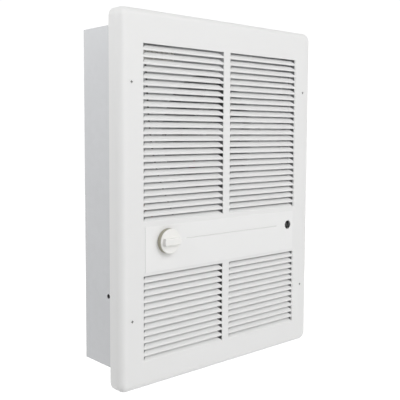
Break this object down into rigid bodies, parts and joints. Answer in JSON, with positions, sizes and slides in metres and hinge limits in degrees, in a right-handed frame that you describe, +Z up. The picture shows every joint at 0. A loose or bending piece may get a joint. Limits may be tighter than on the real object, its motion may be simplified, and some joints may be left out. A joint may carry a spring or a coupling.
{
  "type": "recessed wall fan heater",
  "caption": "Recessed fan-forced wall heater: sheet-steel wall box, fan deck with motor and finned element, and a white louvred cover with knob and reset button.",
  "frame": {"origin": "on the face of the wall, at the middle of the cover and of the opening that the wall box fills", "axes": "+X to the right as seen from the room, +Y into the wall, +Z up"},
  "size_m": [0.417, 0.1519, 0.556],
  "materials": {
    "white_enamel": "smooth powder coat",
    "strip_white": "smooth semi-gloss paint",
    "galvanised_steel": "galvanised sheet",
    "zinc_plate": "bright zinc plate",
    "bare_steel": "ground",
    "lamination_steel": "stacked sheet, edges showing",
    "die_cast": "as cast",
    "fan_aluminium": "mill finish",
    "fin_steel": "matt",
    "sheath": "oxidised",
    "bronze": "sintered",
    "copper": "drawn",
    "winding": "taped winding",
    "white_ceramic": "unglazed",
    "bobbin_nylon": "moulded",
    "block_nylon": "moulded",
    "knob_plastic": "moulded, cream",
    "black_plastic": "moulded",
    "brown_phenolic": "moulded",
    "grey_plastic": "moulded",
    "green_screw": "green dyed zinc",
    "grommet_rubber": "matt",
    "wire_black": "insulation",
    "wire_white": "insulation",
    "wire_red": "insulation",
    "wire_blue": "insulation"
  },
  "bodies": {
    "housing": {"front_cover": "white_enamel", "control_strip": "strip_white", "cover_screws": "white_enamel", "wall_box_wrap": "galvanised_steel", "wall_box_top": "galvanised_steel", "wall_box_bottom": "galvanised_steel", "ground_screw": "green_screw", "deck_tabs": "galvanised_steel", "fan_deck": "galvanised_steel", "deck_screws": "zinc_plate", "deck_grommets": "grommet_rubber", "inlet_ring": "galvanised_steel", "ring_rivets": "die_cast", "motor_bracket": "galvanised_steel", "motor_bracket_screws": "zinc_plate", "motor_stack": "lamination_steel", "shading_rings": "copper", "coil_bobbin": "bobbin_nylon", "motor_coil": "winding", "motor_front_bracket": "die_cast", "motor_rear_bracket": "die_cast", "front_bearing": "bronze", "rear_bearing": "bronze", "motor_bolts": "zinc_plate", "motor_nuts": "zinc_plate", "element_tube": "sheath", "element_fins": "fin_steel", "element_left_plate": "galvanised_steel", "element_right_plate": "galvanised_steel", "element_seals": "white_ceramic", "element_pins": "bare_steel", "element_screws": "zinc_plate", "control_bracket": "galvanised_steel", "bracket_screws": "zinc_plate", "thermostat_body": "grey_plastic", "thermostat_nut": "zinc_plate", "thermostat_bulb": "copper", "thermostat_capillary": "copper", "bulb_clips": "zinc_plate", "reset_guide": "black_plastic", "reset_spring": "bare_steel", "limit_switch": "brown_phenolic", "fan_delay_switch": "brown_phenolic", "switch_screws": "zinc_plate", "terminal_block": "block_nylon", "terminal_screws": "zinc_plate", "black_wires": "wire_black", "white_wire": "wire_white", "red_wires": "wire_red", "motor_leads": "wire_blue"},
    "fan": {"rotor_core": "lamination_steel", "motor_shaft": "bare_steel", "fan_blade": "fan_aluminium", "fan_hub": "die_cast", "hub_screw": "lamination_steel"},
    "knob": {"thermostat_shaft": "bare_steel", "thermostat_knob": "knob_plastic"},
    "reset": {"reset_button": "black_plastic"}
  },
  "joints": [
    {"name": "fan_spin", "type": "hinge", "parent": "housing", "child": "fan", "pos_m": [0, 0.036, 0.0985], "axis": [0, 1, 0], "continuous": true},
    {"name": "knob_turn", "type": "hinge", "parent": "housing", "child": "knob", "pos_m": [-0.123, -0.03, -0.06025], "axis": [0, 1, 0], "range_deg": [-45, 225]},
    {"name": "reset_press", "type": "slide", "parent": "housing", "child": "reset", "axis": [0, 1, 0], "range_m": [0, 0.003], "stiffness_N_per_m": 400, "springref_m": -0.002}
  ]
}
